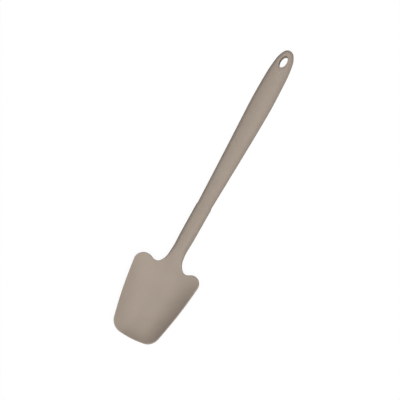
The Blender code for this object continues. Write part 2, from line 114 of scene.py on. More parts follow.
# Silicone. Each relief is the strength of a bump and its height.
HAZE_PATCH = 0.025            # handling dulls the skin in patches about this wide
HAZE_NOISE = (0.35, 0.75)     # noise at which a patch begins, and at which it is dullest
HAZE_MOST = 0.6               # share of the dulled colour where it is dullest
SKIN_NOISE = (0.3, 0.7)       # noise at which the skin is smoothest, and roughest
SMOOTHER, ROUGHER = 0.04, 0.05    # how far that is below and above its mean roughness
LINE_REACH = 0.00015          # the parting line is about 0.1 mm wide, drawn 0.3 mm so that it shows
LINE_DIRT_AND_SHADE = 0.5               # share of the line's dark colour, dirt and painted shade of the edge, on that line
LINE_RELIEF = (0.6, 0.00006)
GRAIN_SIZE = 0.0003           # the eroded grain is about 0.05 mm, drawn larger so that it shows
GRAIN_RELIEF = (0.25, 0.00002)
WAVE_SIZE = 0.014             # shrinkage leaves slow waves about this long in a thick moulding
WAVE_RELIEF = (0.5, 0.00012)
# Red light spreads furthest under the skin
SILICONE_OPTICS = {
    "IOR": 1.41, "Specular IOR Level": 0.3, "Subsurface Weight": 0.12,
    "Subsurface Radius": (0.0016, 0.0011, 0.0008), "Subsurface Scale": 1.0,
}

# Nylon. Its short fibres lie along the flow, which runs down the length.
FIBRE_SIZE = 0.0004           # drawn wider than real ones so that they show
FIBRE_STRETCH = (1.0, 0.12, 1.0)    # streaks the noise along Y
FIBRE_NOISE = (0.3, 0.7)      # noise at which the nylon is darkest, and palest
FIBRE_SHADE = 0.92            # brightness of the darkest streak
FIBRE_RELIEF = (0.3, 0.00002)
NYLON_OPTICS = {"Roughness": 0.45, "IOR": 1.53}

# Stage
WHITE = (1.0, 1.0, 1.0, 1.0)
FLOOR_REACH = 2.0             # half the side of the floor
KEY_DISTANCE = 12.0           # so far away that the lamp lights scoop and handle alike
KEY_SIZE = 7.2                # width of the lamp's disc
FILL_LOWEST = 0.3             # sine of the height in the sky at which the fill has faded out

# Attributes of the meshes
PARTING = "parting_height"
PLAN_ATTRIBUTES = ("edge_distance", "hole_distance", "wall")
PLAN_KINDS = ("FLOAT", "FLOAT", "BOOLEAN")

# Numbers of the sockets that share their name with others on their node
COLOUR_A, COLOUR_B, COLOUR_RESULT = 6, 7, 2    # Mix, for colours
NUMBER_A, NUMBER_B = 2, 3                      # Mix, for numbers
WHOLE_A, WHOLE_B = 2, 3                        # Compare, for whole numbers


def to_linear(hex_code):
    """Linear red, green, blue and alpha of an sRGB hex colour."""
    shares = [int(hex_code[place:place + 2], 16) / 255 for place in (1, 3, 5)]
    return [s / 12.92 if s <= 0.04045 else ((s + 0.055) / 1.055) ** 2.4 for s in shares] + [1.0]


class SpoonSizes(bpy.types.PropertyGroup):
    """Heights and walls of the two mouldings."""

    rim_height: FloatProperty(
        name="Rim height", description="Top of the scoop's rim, before its edge is rounded",
        default=0.01538, unit="LENGTH")
    lip_corner_height: FloatProperty(
        name="Lip corner height", description="Top of the rim at the lip's corners",
        default=0.0145, unit="LENGTH")
    lip_under_height: FloatProperty(
        name="Lip height", description="Underside of the middle of the lip",
        default=0.0098, unit="LENGTH")
    floor_half_width: FloatProperty(
        name="Floor half width", description="Half width of the scoop's level floor",
        default=0.0056, unit="LENGTH")
    floor_start: FloatProperty(
        name="Floor start", description="Where the level floor begins, from the lip",
        default=0.026, unit="LENGTH")
    floor_end: FloatProperty(
        name="Floor end", description="Where the level floor ends, from the lip",
        default=0.046, unit="LENGTH")
    floor_thickness: FloatProperty(
        name="Floor thickness", description="Wall under the floor", default=0.0040, unit="LENGTH")
    rim_thickness: FloatProperty(
        name="Rim thickness", description="Wall at the rim", default=0.0024, unit="LENGTH")
    lip_thickness: FloatProperty(
        name="Lip thickness", description="Wall at the lip", default=0.0014, unit="LENGTH")
    lip_taper: FloatProperty(
        name="Lip taper", description="Length over which the lip thickens to the floor",
        default=0.022, unit="LENGTH")
    rim_ramp: FloatProperty(
        name="Rim ramp", description="Length over which the rim climbs from the lip's corners",
        default=0.030, unit="LENGTH")
    blade_edge: FloatProperty(
        name="Scoop edge radius", description="Rounding of the scoop's edges",
        default=0.0010, unit="LENGTH")
    neck_start: FloatProperty(
        name="Neck start", description="Where the neck begins to grow out of the floor",
        default=0.058, unit="LENGTH")
    neck_full: FloatProperty(
        name="Neck full", description="Where the neck has its full thickness",
        default=0.088, unit="LENGTH")
    neck_spread: FloatProperty(
        name="Neck spread", description="How much later the neck grows away from the middle",
        default=1.2)
    neck_fall: FloatProperty(
        name="Neck fall", description="Where the neck starts to come down towards the table",
        default=0.060, unit="LENGTH")
    neck_thickness: FloatProperty(
        name="Neck thickness", description="Thickness of the neck", default=0.0086, unit="LENGTH")
    grip_thickness: FloatProperty(
        name="Grip thickness", description="Greatest thickness of the handle",
        default=0.0096, unit="LENGTH")
    grip_full: FloatProperty(
        name="Grip full", description="Where the handle has its full thickness, from its tip",
        default=0.075, unit="LENGTH")
    grip_rest: FloatProperty(
        name="Grip rest", description="Where the handle comes down on the table, from its tip",
        default=0.058, unit="LENGTH")
    tip_thickness: FloatProperty(
        name="Tip thickness", description="Thickness at the hanging end",
        default=0.0076, unit="LENGTH")
    tip_taper: FloatProperty(
        name="Tip taper", description="Length over which the handle thins to its tip",
        default=0.040, unit="LENGTH")
    rod_edge: FloatProperty(
        name="Handle edge radius", description="Rounding of the neck's and handle's edges",
        default=0.0040, unit="LENGTH")
    crown_radius: FloatProperty(
        name="Crown radius", description="Radius of the crowned top, across",
        default=0.017, unit="LENGTH")
    back_flat: FloatProperty(
        name="Back flat", description="Half width of the flat along the back",
        default=0.0040, unit="LENGTH")
    back_radius: FloatProperty(
        name="Back radius", description="Radius of the back beside its flat",
        default=0.020, unit="LENGTH")
    hole_from_tip: FloatProperty(
        name="Hole place", description="Middle of the hanging hole, from the tip",
        default=0.0119, unit="LENGTH")
    hole_half_width: FloatProperty(
        name="Hole half width", description="Half width of the hanging hole's throat",
        default=0.0033, unit="LENGTH")
    hole_half_length: FloatProperty(
        name="Hole half length", description="Half length of the hanging hole's throat",
        default=0.0057, unit="LENGTH")
    hole_rim: FloatProperty(
        name="Hole rim", description="Width of the hole's rounded rim at the tip",
        default=0.0009, unit="LENGTH")
    hole_dish: FloatProperty(
        name="Hole dish", description="Width of that rim towards the grip",
        default=0.0032, unit="LENGTH")
    sleeve_step: FloatProperty(
        name="Sleeve step", description="How far the sleeve stands proud of the handle",
        default=0.0004, unit="LENGTH")
    step_length: FloatProperty(
        name="Step length", description="Length over which the sleeve narrows to the handle",
        default=0.0024, unit="LENGTH")
    step_fade: FloatProperty(
        name="Step fade", description="Length over which the sleeve thins to the handle",
        default=0.0140, unit="LENGTH")


class SpoonFinishes(bpy.types.PropertyGroup):
    """Colours and surfaces."""

    silicone: FloatVectorProperty(
        name="Silicone", description="Warm greige of the silicone", subtype="COLOR", size=4,
        min=0.0, max=1.0, default=to_linear("#A09387"))
    silicone_haze: FloatVectorProperty(
        name="Silicone haze", description="The silicone where handling has dulled it",
        subtype="COLOR", size=4, min=0.0, max=1.0, default=to_linear("#A5998D"))
    # Painted shade: this dark colour on the parting line stands partly for dirt and partly for the
    # shade of the edge.
    parting_line_dirt_and_shade: FloatVectorProperty(
        name="Parting line", description="Dirt along the line that the mould leaves",
        subtype="COLOR", size=4, min=0.0, max=1.0, default=to_linear("#6F665D"))
    silicone_roughness: FloatProperty(
        name="Silicone roughness", description="Roughness of the matt moulded skin",
        default=0.70, min=0.0, max=1.0, subtype="FACTOR")
    nylon: FloatVectorProperty(
        name="Nylon", description="Natural glass-filled nylon of the core", subtype="COLOR",
        size=4, min=0.0, max=1.0, default=to_linear("#CCC7BB"))


class SpoonStage(bpy.types.PropertyGroup):
    """Floor, light and camera."""

    floor: FloatVectorProperty(
        name="Floor", description="Pale floor, as the spoon's underside sees it",
        subtype="COLOR", size=4, min=0.0, max=1.0, default=to_linear("#B0AEAA"))
    wash: FloatProperty(
        name="Wash", description="How far the floor that is seen is washed out to white",
        default=0.94, min=0.0, max=1.0, subtype="FACTOR")
    fill: FloatProperty(
        name="Fill", description="Soft light from overhead", default=0.32, min=0.0)
    key: FloatProperty(
        name="Key", description="Power of the large soft lamp", default=1410.0, min=0.0,
        unit="POWER")
    key_elevation: FloatProperty(
        name="Key elevation", description="Height of that lamp above the table",
        default=radians(66), subtype="ANGLE")
    key_heading: FloatProperty(
        name="Key heading", description="Direction of that lamp in plan, from across the spoon",
        default=radians(-42), subtype="ANGLE")
    lens: FloatProperty(
        name="Lens", description="Focal length of the camera, in millimetres", default=311.67)
    camera_place: FloatVectorProperty(
        name="Camera place", description="Where the camera hangs above the spoon",
        subtype="XYZ", unit="LENGTH", default=(0.72509, -0.51534, 2.87328))
    camera_turn: FloatVectorProperty(
        name="Camera turn", description="How the camera is turned from looking straight down",
        subtype="EULER", unit="ROTATION",
        default=(radians(15.3279), radians(7.9785), radians(28.4705)))


# Nodes

def add_node(tree, kind, settings=None, inputs=None):
    """Adds a node. An input is a value, a socket, or a node whose first output it takes."""
    node = tree.nodes.new(kind)
    for name, value in (settings or {}).items():
        setattr(node, name, value)
    for socket, value in (inputs or {}).items():
        if isinstance(value, bpy.types.Node):
            value = value.outputs[0]
        if isinstance(value, bpy.types.NodeSocket):
            tree.links.new(value, node.inputs[socket])
        else:
            node.inputs[socket].default_value = value
    return node


def add_maths(tree, operation, *values):
    """Adds a node that does one operation on its values."""
    return add_node(tree, "ShaderNodeMath", {"operation": operation}, dict(enumerate(values)))


def add_range(tree, value, start, end, first, last, slow=False):
    """Adds a node that goes from first to last while the value goes from start to end."""
    kind = "SMOOTHSTEP" if slow else "LINEAR"
    return add_node(tree, "ShaderNodeMapRange", {"interpolation_type": kind}, {
        0: value, 1: start, 2: end, 3: first, 4: last})


def add_noise(tree, place, size, detail, roughness=0.5):
    """Adds noise whose patches are about that size."""
    return add_node(tree, "ShaderNodeTexNoise", {}, {
        "Vector": place, "Scale": 1 / size, "Detail": detail, "Roughness": roughness})


def add_bump(tree, height, relief, under=None):
    """Adds a bump of that relief, over another bump if there is one."""
    strength, distance = relief
    inputs = {"Strength": strength, "Distance": distance, "Height": height}
    if under is not None:
        inputs["Normal"] = under
    return add_node(tree, "ShaderNodeBump", {}, inputs)


def mixed_colour(tree, factor, first, second, blend="MIX"):
    """Socket of a colour that goes from first to second as the factor goes from 0 to 1."""
    node = add_node(tree, "ShaderNodeMix", {"data_type": "RGBA", "blend_type": blend}, {
        "Factor": factor, COLOUR_A: first, COLOUR_B: second})
    return node.outputs[COLOUR_RESULT]


def new_material(name):
    """A material with an empty node tree, and that tree."""
    material = bpy.data.materials.new(name)
    material.use_nodes = True
    material.node_tree.nodes.clear()
    return material, material.node_tree


def moulded_silicone(finishes):
    """Silicone rubber pressed in a spark-eroded mould.

    A matt skin with a wide soft sheen, a little light under the surface that softens its thin
    edges, a faint haze where it has been handled, and the fine line that the mould's two halves
    leave along its edge, darkened in colour for the dirt that gathers there and as painted shade
    of the edge.
    """
    material, tree = new_material("moulded_silicone")
    place = add_node(tree, "ShaderNodeTexCoord").outputs["Object"]
    patches = add_noise(tree, place, HAZE_PATCH, detail=3.0)
    haze = add_range(tree, patches, *HAZE_NOISE, 0.0, HAZE_MOST)
    hazed = mixed_colour(tree, haze, finishes.silicone[:], finishes.silicone_haze[:])
    height = add_node(tree, "ShaderNodeAttribute", {"attribute_name": PARTING})
    line = add_range(tree, height.outputs["Fac"], 0.0, LINE_REACH, 1.0, 0.0)
    # Painted shade: the parting line is darkened in colour, partly for dirt and partly as the shade
    # of the edge.
    dirt_and_shade = add_maths(tree, "MULTIPLY", line, LINE_DIRT_AND_SHADE)
    colour = mixed_colour(tree, dirt_and_shade, hazed, finishes.parting_line_dirt_and_shade[:])
    mean = finishes.silicone_roughness
    roughness = add_range(tree, patches, *SKIN_NOISE, mean - SMOOTHER, mean + ROUGHER)
    grain = add_noise(tree, place, GRAIN_SIZE, detail=2.0, roughness=0.6)
    waves = add_noise(tree, place, WAVE_SIZE, detail=1.0)
    bump = add_bump(tree, grain, GRAIN_RELIEF)
    bump = add_bump(tree, waves, WAVE_RELIEF, bump)
    bump = add_bump(tree, line, LINE_RELIEF, bump)
    shader = add_node(tree, "ShaderNodeBsdfPrincipled", {}, {
        "Base Color": colour, "Roughness": roughness, "Normal": bump, **SILICONE_OPTICS})
    add_node(tree, "ShaderNodeOutputMaterial", {}, {"Surface": shader})
    return material


def moulded_nylon(finishes):
    """Glass-filled nylon as moulded: off-white, with a faint streak of short fibres."""
    material, tree = new_material("moulded_glass_filled_nylon")
    place = add_node(tree, "ShaderNodeTexCoord").outputs["Object"]
    along = add_node(tree, "ShaderNodeMapping", {}, {"Vector": place, "Scale": FIBRE_STRETCH})
    fibres = add_noise(tree, along, FIBRE_SIZE, detail=2.0)
    shade = add_range(tree, fibres, *FIBRE_NOISE, FIBRE_SHADE, 1.0)
    colour = mixed_colour(tree, 1.0, finishes.nylon[:], shade, blend="MULTIPLY")
    bump = add_bump(tree, fibres, FIBRE_RELIEF)
    shader = add_node(tree, "ShaderNodeBsdfPrincipled", {}, {
        "Base Color": colour, "Normal": bump, **NYLON_OPTICS})
    add_node(tree, "ShaderNodeOutputMaterial", {}, {"Surface": shader})
    return material


# Outlines

def rounded_path(outline):
    """Points along a half outline whose inner corners are rounded, in metres.

    Also gives the number of the point in the middle of each corner's arc. Two roundings that
    would overlap on a short side share it.
    """
    corners = [Vector(corner[:2]) * MILLIMETRE for corner in outline]
    radii = [corner[2] * MILLIMETRE for corner in outline]
    last = len(corners) - 1
    sides = [corners[place + 1] - corners[place] for place in range(last)]
    turns = [0.0] + [sides[place - 1].angle(sides[place]) for place in range(1, last)] + [0.0]
    reach = [radius * tan(turn / 2) for radius, turn in zip(radii, turns)]
    share = [1.0] * (last + 1)
    for place, side in enumerate(sides):
        needed = reach[place] + reach[place + 1]
        if needed > side.length:
            for end in (place, place + 1):
                share[end] = min(share[end], side.length / needed)
    points = [corners[0]]
    middles = [0]
    for place in range(1, last):
        back = -sides[place - 1].normalized()
        ahead = sides[place].normalized()
        tangent = reach[place] * share[place]
        radius = tangent / tan(turns[place] / 2)
        inward = (ahead - back * ahead.dot(back)).normalized()
        start = corners[place] + back * tangent
        steps = max(2, 2 * round(turns[place] / pi * ARC_STEPS))
        middles.append(len(points) + steps // 2)
        for step in range(steps + 1):
            angle = turns[place] * step / steps
            point = start + inward * radius * (1 - cos(angle)) - back * radius * sin(angle)
            if step or (point - points[-1]).length > SAME_PLACE:
                points.append(point)
            else:
                middles[-1] -= 1
    middles.append(len(points))
    points.append(corners[last])
    return np.array(points), middles


def path_measure(path):
    """How far along the path each point lies, in length with more weight where it turns."""
    steps = path[1:] - path[:-1]
    heading = np.unwrap(np.arctan2(steps[:, 1], steps[:, 0]))
    turns = np.abs(np.diff(heading, append=heading[-1]))
    return np.concatenate([[0.0], np.cumsum(np.hypot(*steps.T) + TURN_WEIGHT * turns)])


def point_at(path, measure, along):
    """Across and along, of the point or points at that measure of the path."""
    return np.stack([np.interp(along, measure, path[:, 0]), np.interp(along, measure, path[:, 1])])


def distance_to_path(x, y, path):
    """Distance in plan from each point to a path."""
    start = path[:-1]
    step = path[1:] - start
    squared = np.maximum((step ** 2).sum(axis=1), LEAST_SQUARED_STEP)
    point = np.stack([x, y], axis=-1)[..., None, :]
    along = np.clip(((point - start) * step).sum(axis=-1) / squared, 0.0, 1.0)
    nearest = start + along[..., None] * step
    return np.sqrt(((point - nearest) ** 2).sum(axis=-1)).min(axis=-1)


# Head moulding

def smooth(share):
    """Share of a change that starts and ends slowly."""
    share = np.clip(share, 0.0, 1.0)
    return share * share * (3.0 - 2.0 * share)


def wall_half_width(y):
    """Half width of the scoop's wall: a smooth curve through the outline's three side corners."""
    (x0, y0, _), (x1, y1, _), (x2, y2, _) = np.array(HEAD_OUTLINE[SIDE_CORNERS]) * MILLIMETRE
    y = np.minimum(y, y2)
    first = (x1 - x0) / (y1 - y0)
    second = (x2 - x1) / (y2 - y1)
    bend = (second - first) / (y2 - y0)
    return x0 + first * (y - y0) + bend * (y - y0) * (y - y1)


def rod_share(x, y, sizes):
    """0 in the scoop, 1 in the neck."""
    start = sizes.neck_start + sizes.neck_spread * np.abs(x)
    return smooth((y - start) / (sizes.neck_full - sizes.neck_start))


def rod_middle(y, sizes):
    """Height of the rod's middle, which comes down from the scoop's rim to the table's level."""
    neck = sizes.rim_height - sizes.neck_thickness / 2
    rest = sizes.grip_thickness / 2
    length = GRIP_HIGH.y - HEAD_LOW.y
    fall = smooth((y - sizes.neck_fall) / (length - sizes.grip_rest - sizes.neck_fall))
    return neck + (rest - neck) * fall


def head_surfaces(x, y, sizes):
    """Upper and under surface of the head, before its edges are rounded."""
    lip, neck = sizes.lip_thickness, sizes.neck_thickness
    rod = rod_share(x, y, sizes)
    floor = lip + (sizes.floor_thickness - lip) * smooth(y / sizes.lip_taper)
    side = (np.abs(x) - sizes.floor_half_width) / (wall_half_width(y) - sizes.floor_half_width)
    wall = np.maximum(side, 0.0) ** 2
    thickness = (1 - rod) * (floor + (sizes.rim_thickness - floor) * wall) + rod * neck
    middle_rod = rod_share(0.0, y, sizes)
    lip_lift = sizes.lip_under_height * np.clip(1 - y / sizes.floor_start, 0.0, 1.0) ** 2
    neck_lift = smooth((y - sizes.floor_end) / (sizes.neck_full - sizes.floor_end))
    middle_under = lip_lift + (rod_middle(y, sizes) - neck / 2) * neck_lift
    middle_top = middle_under + (1 - middle_rod) * floor + middle_rod * neck
    corner = sizes.lip_corner_height
    rim = corner + (sizes.rim_height - corner) * smooth(y / sizes.rim_ramp)
    rise = np.where(y < sizes.neck_full, rim - middle_top, 0.0)
    surface = middle_top + rise * wall
    beside = np.maximum(np.abs(x) - sizes.back_flat, 0.0)
    top = surface - rod * x * x / (2 * sizes.crown_radius)
    under = surface - thickness + rod * beside ** 2 / (2 * sizes.back_radius)
    return top, under


def head_edge(x, y, sizes):
    """Rounding of the head's edges: small on the scoop, large on the neck."""
    rod = rod_share(x, y, sizes)
    return (1 - rod) * sizes.blade_edge + rod * sizes.rod_edge


def head_rows(path, middles, sizes):
    """Rows of points from the middle line to the half outline, and mirrored to the other side.

    A row runs straight, but near the lip it takes on the lip's own line.
    """
    measure = path_measure(path)
    _, _, corner, _, _, dip, _, waist, _, seam = middles
    widest = path[:, 0].argmax()
    step_start = measure[seam] - sizes.step_length
    knots = [
        (measure[corner], 0.0, SIDE_ROWS),
        (measure[widest], path[widest][1] - SHOULDER_SLANT * path[widest][0], SHOULDER_ROWS),
        (measure[dip], path[dip][1] - DIP_SLANT * path[dip][0], ROOT_ROWS),
        (measure[waist], path[waist][1], SLEEVE_ROWS),
        (step_start, point_at(path, measure, step_start)[1], STEP_ROWS),
        (measure[seam], path[seam][1], 0),
    ]
    places, centres, counts = zip(*knots)
    lip_edge = sizes.blade_edge * (1 - np.cos(pi / 2 * np.arange(LIP_ROWS + 1) / LIP_ROWS))
    stations = [place for start, end, count in zip(places, places[1:], counts)
                for place in np.linspace(start, end, count + 1)[:-1]] + [places[-1]]
    clear = places[0] + lip_edge[-1] * LIP_CLEARANCE
    stations = [*(places[0] + lip_edge), *(place for place in stations if place > clear)]
    edge_steps = np.cos(pi / 2 * np.arange(EDGE_COLUMNS + 1) / EDGE_COLUMNS)
    rows = []
    for station in stations:
        side = point_at(path, measure, station)
        centre = np.interp(station, places, centres)
        row = np.array([side[0], side[1] - centre])
        width = np.hypot(*row)
        edge = head_edge(side[0], side[1], sizes)
        tangent = point_at(path, measure, station + edge) - point_at(path, measure, station - edge)
        square = abs(row[0] * tangent[1] - row[1] * tangent[0]) / (width * np.hypot(*tangent))
        reach = min(edge / max(square, LEAST_SQUARE) / width, WIDEST_EDGE)
        inner = np.linspace(0.0, 1 - reach, INNER_COLUMNS + 1)[:-1]
        share = np.concatenate([inner, 1 - reach * (1 - edge_steps[::-1])])
        lip = point_at(path, measure, share * places[0])
        lip_end = point_at(path, measure, places[0])
        lip_bow = lip - lip_end[:, None] * share
        fade = max(0.0, 1 - centre / path[corner][0]) ** 2
        x = side[0] * share + lip_bow[0] * fade
        y = centre + (side[1] - centre) * share + lip_bow[1] * fade
        rows.append((np.concatenate([-x[:0:-1], x]), np.concatenate([y[:0:-1], y])))
    return np.array([row[0] for row in rows]), np.array([row[1] for row in rows])


def head_mesh(sizes):
    """The head as a closed mesh: two surfaces that meet on the parting line, and the seam's end.

    Its points carry their height off the parting line, which the silicone draws.
    """
    path, middles = rounded_path(HEAD_OUTLINE)
    x, y = head_rows(path, middles, sizes)
    distance = distance_to_path(np.abs(x), y, path)
    distance[0] = distance[:, 0] = distance[:, -1] = 0.0
    top, under = head_surfaces(x, y, sizes)
    inside = np.clip(1 - distance / head_edge(x, y, sizes), 0.0, 1.0)
    middle, half = (top + under) / 2, (top - under) / 2 * np.sqrt(1 - inside ** 2)
    step = sizes.sleeve_step * smooth((y - y.max()) / sizes.step_length + 1)
    fade = sizes.sleeve_step * smooth((y - y.max()) / sizes.step_fade + 1)
    x, half = x * (1 - step / path[-1][0]), half * (1 - fade / (sizes.neck_thickness / 2))
    mesh = bmesh.new()
    parting = mesh.verts.layers.float.new(PARTING)
    rows, columns = x.shape

    def skin(side, other=None):
        """Points of one surface. It takes those on the parting line from the other surface."""
        points = []
        for r in range(rows):
            points.append([])
            for c in range(columns):
                if other and distance[r, c] == 0.0:
                    point = other[r][c]
                else:
                    height = middle[r, c] + side * half[r, c]
                    point = mesh.verts.new((x[r, c], y[r, c] + HEAD_LOW.y, height))
                point[parting] = half[r, c]
                points[-1].append(point)
        return points

    upper = skin(1)
    lower = skin(-1, upper)
    for r in range(rows - 1):
        for c in range(columns - 1):
            corners = [(r, c), (r, c + 1), (r + 1, c + 1), (r + 1, c)]
            mesh.faces.new([upper[i][j] for i, j in corners])
            mesh.faces.new([lower[i][j] for i, j in reversed(corners)])
    for c in range(columns - 1):
        end = [upper[-1][c], upper[-1][c + 1], lower[-1][c + 1], lower[-1][c]]
        mesh.faces.new(list(dict.fromkeys(end)))
    bmesh.ops.remove_doubles(mesh, verts=mesh.verts, dist=SAME_PLACE)
    bmesh.ops.recalc_face_normals(mesh, faces=mesh.faces)
    data = bpy.data.meshes.new("head_moulding")
    mesh.to_mesh(data)
    mesh.free()
    return data


# Handle moulding

def handle_plan(sizes):
    """The handle's plan as a flat mesh: rings round the hanging hole, then rows to the seam.

    Its points carry what the node tree lifts them by: their distances from the outline and the
    hole, and whether they edge a wall of the moulding.
    """
    path, _ = rounded_path(HANDLE_OUTLINE)
    measure = path_measure(path)
    eye_station = np.interp(EYE_FROM_TIP, path[:, 1], measure)
    eye = point_at(path, measure, np.linspace(0.0, eye_station, EYE_STEPS + 1)).T
    stations = np.linspace(eye_station, measure[-1], HANDLE_ROWS + 1)
    across = np.sin(pi / 2 * np.linspace(-1.0, 1.0, HANDLE_COLUMNS + 1))
    points, faces = [], []
    # Rows from the eye to the seam
    grid = []
    for half_width, along in point_at(path, measure, stations).T:
        grid.append(range(len(points), len(points) + len(across)))
        points += [(half_width * share, along) for share in across]
    for near, far in zip(grid, grid[1:]):
        faces += [(near[c], near[c + 1], far[c + 1], far[c]) for c in range(HANDLE_COLUMNS)]
    # The loop round the eye: down one side of the outline, up the other and along the first row
    sides = range(len(points), len(points) + 2 * EYE_STEPS - 1)
    points += [tuple(point) for point in eye[:-1][::-1]]
    points += [(-half_width, along) for half_width, along in eye[1:-1]]
    loop = [grid[0][-1], *sides, *grid[0][:-1]]
    # Rings from the oval throat of the hole out to that loop
    centre = np.array([0.0, sizes.hole_from_tip])
    halves = np.array([sizes.hole_half_width, sizes.hole_half_length])
    throat = []
    for number in loop:
        reach = (np.array(points[number]) - centre) / halves
        throat.append(centre + halves * reach / np.hypot(*reach))
    shares = (1 - np.cos(pi * np.arange(EYE_RINGS) / EYE_RINGS)) / 2
    rings = []
    for share in shares:
        rings.append(range(len(points), len(points) + len(loop)))
        points += [tuple(inner + (np.array(points[number]) - inner) * share)
                   for inner, number in zip(throat, loop)]
    rings.append(loop)
    for inner, outer in zip(rings, rings[1:]):
        for place in range(len(loop)):
            ahead = (place + 1) % len(loop)
            faces.append((inner[place], outer[place], outer[ahead], inner[ahead]))
    x, y = np.array(points).T
    edge = distance_to_path(np.abs(x), y, path)
    edge[[*sides, *(row[0] for row in grid), *(row[-1] for row in grid)]] = 0.0
    hole = distance_to_path(x, y, np.array(throat + throat[:1]))
    wall = np.zeros(len(points), bool)
    wall[[*rings[0], *grid[-1]]] = True
    data = bpy.data.meshes.new("handle_plan")
    data.from_pydata([(across, GRIP_HIGH.y - along, 0.0) for across, along in points], [], faces)
    for name, kind, values in zip(PLAN_ATTRIBUTES, PLAN_KINDS, (edge, hole, wall)):
        data.attributes.new(name, kind, "POINT").data.foreach_set("value", values)
    return data


def handle_tree(material, inputs):
    """Node tree that lifts the handle's plan into a closed moulding by the rules of its section."""
    tree = bpy.data.node_groups.new("Handle moulding", "GeometryNodeTree")
    tree.interface.new_socket("Geometry", in_out="OUTPUT", socket_type="NodeSocketGeometry")
    tree.interface.new_socket("Plan", in_out="INPUT", socket_type="NodeSocketGeometry")
    for name in inputs:
        socket = tree.interface.new_socket(name, in_out="INPUT", socket_type="NodeSocketFloat")
        socket.subtype = "DISTANCE"
    node, maths, ramp = (partial(add, tree) for add in (add_node, add_maths, add_range))

    def arc(inside):
        """Rise of a rounding, from 1 where it begins to 0 at its edge."""
        return maths("SQRT", maths("SUBTRACT", 1.0, maths("MULTIPLY", inside, inside)))

    given = node("NodeGroupInput").outputs
    place = node("ShaderNodeSeparateXYZ", {}, {0: node("GeometryNodeInputPosition")}).outputs
    x, y = place["X"], place["Y"]
    edge_distance, hole_distance, wall = (
        node("GeometryNodeInputNamedAttribute", {"data_type": kind}, {"Name": name})
        for name, kind in zip(PLAN_ATTRIBUTES, PLAN_KINDS))
    # Heights along the middle line
    middle = ramp(y, given["Neck place"], given["Rest place"],
                  given["Neck middle"], given["Rest middle"], slow=True)
    thickness = ramp(y, given["Seam place"], given["Grip place"],
                     given["Seam thickness"], given["Grip thickness"], slow=True)
    thinning = ramp(y, given["Taper place"], given["Tip place"],
                    0.0, given["Tip thinning"], slow=True)
    low = maths("MULTIPLY_ADD", thickness, -0.5, middle)
    high = maths("SUBTRACT", maths("ADD", low, thickness), thinning)
    # The crowned top and the flat back, across
    crown = maths("DIVIDE", maths("MULTIPLY", x, x), given["Crown radius"])
    crowned = maths("MULTIPLY_ADD", crown, -0.5, high)
    beside = maths("MAXIMUM", maths("SUBTRACT", maths("ABSOLUTE", x), given["Back flat"]), 0.0)
    back = maths("DIVIDE", maths("MULTIPLY", beside, beside), given["Back radius"])
    backed = maths("MULTIPLY_ADD", back, 0.5, low)
    # The hole's rounded rim, wider towards the grip
    rim = ramp(y, given["Hole grip side"], given["Hole tip side"],
               given["Hole dish"], given["Hole rim"], slow=True)
    rim_arc = arc(ramp(hole_distance, 0.0, rim, 1.0, 0.0))
    drop = maths("MULTIPLY", maths("SUBTRACT", 1.0, rim_arc), given["Hole rim"])
    top = maths("SUBTRACT", crowned, drop)
    under = maths("ADD", backed, drop)
    # The rounded edges, which meet on the parting line
    centre = maths("MULTIPLY", maths("ADD", top, under), 0.5)
    edge_arc = arc(ramp(edge_distance, 0.0, given["Edge radius"], 1.0, 0.0))
    lift = maths("MULTIPLY", maths("SUBTRACT", top, centre), edge_arc)
    top_place, under_place = (
        node("ShaderNodeCombineXYZ", {}, {0: x, 1: y, 2: maths(way, centre, lift)})
        for way in ("ADD", "SUBTRACT"))
    # Two skins, and the walls of the throat and of the seam's end between them
    marked = node("GeometryNodeStoreNamedAttribute", {"data_type": "FLOAT"}, {
        "Geometry": given["Plan"], "Name": PARTING, "Value": lift})
    top_skin, under_skin = (
        node("GeometryNodeSetPosition", {}, {"Geometry": marked, "Position": spot})
        for spot in (top_place, under_place))
    turned = node("GeometryNodeFlipFaces", {}, {0: under_skin})
    open_edge = node("FunctionNodeCompare", {"data_type": "INT", "operation": "EQUAL"}, {
        WHOLE_A: node("GeometryNodeInputMeshEdgeNeighbors"), WHOLE_B: 1})
    wall_edge = node("FunctionNodeBooleanMath", {"operation": "AND"}, {0: open_edge, 1: wall})
    walls = node("GeometryNodeExtrudeMesh", {"mode": "EDGES"}, {
        "Mesh": top_skin, "Selection": wall_edge, "Offset Scale": 0.0})
    walled = node("GeometryNodeSetPosition", {}, {
        "Geometry": walls, "Selection": walls.outputs["Top"], "Position": under_place})
    joined = node("GeometryNodeJoinGeometry", {}, {0: walled})
    tree.links.new(turned.outputs[0], joined.inputs[0])
    merged = node("GeometryNodeMergeByDistance", {}, {"Geometry": joined, "Distance": SAME_PLACE})
    whole = node("GeometryNodeRealizeInstances", {}, {0: merged})
    finished = node("GeometryNodeSetMaterial", {}, {"Geometry": whole, "Material": material})
    node("NodeGroupOutput", {}, {0: finished})
    return tree


def handle_sizes(sizes):
    """Values of the tree's inputs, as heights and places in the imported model's frame."""
    lip, tip = HEAD_LOW.y, GRIP_HIGH.y
    hole = tip - sizes.hole_from_tip
    return {
        "Neck place": lip + sizes.neck_fall,
        "Rest place": tip - sizes.grip_rest,
        "Neck middle": sizes.rim_height - sizes.neck_thickness / 2,
        "Rest middle": sizes.grip_thickness / 2,
        "Seam place": HEAD_HIGH.y,
        "Grip place": tip - sizes.grip_full,
        "Seam thickness": sizes.neck_thickness - 2 * sizes.sleeve_step,
        "Grip thickness": sizes.grip_thickness,
        "Tip place": tip,
        "Taper place": tip - sizes.tip_taper,
        "Tip thinning": sizes.grip_thickness - sizes.tip_thickness,
        "Crown radius": sizes.crown_radius,
        "Back flat": sizes.back_flat,
        "Back radius": sizes.back_radius,
        "Edge radius": sizes.rod_edge,
        "Hole tip side": hole + sizes.hole_half_length,
        "Hole grip side": hole - sizes.hole_half_length,
        "Hole rim": sizes.hole_rim,
        "Hole dish": sizes.hole_dish,
    }


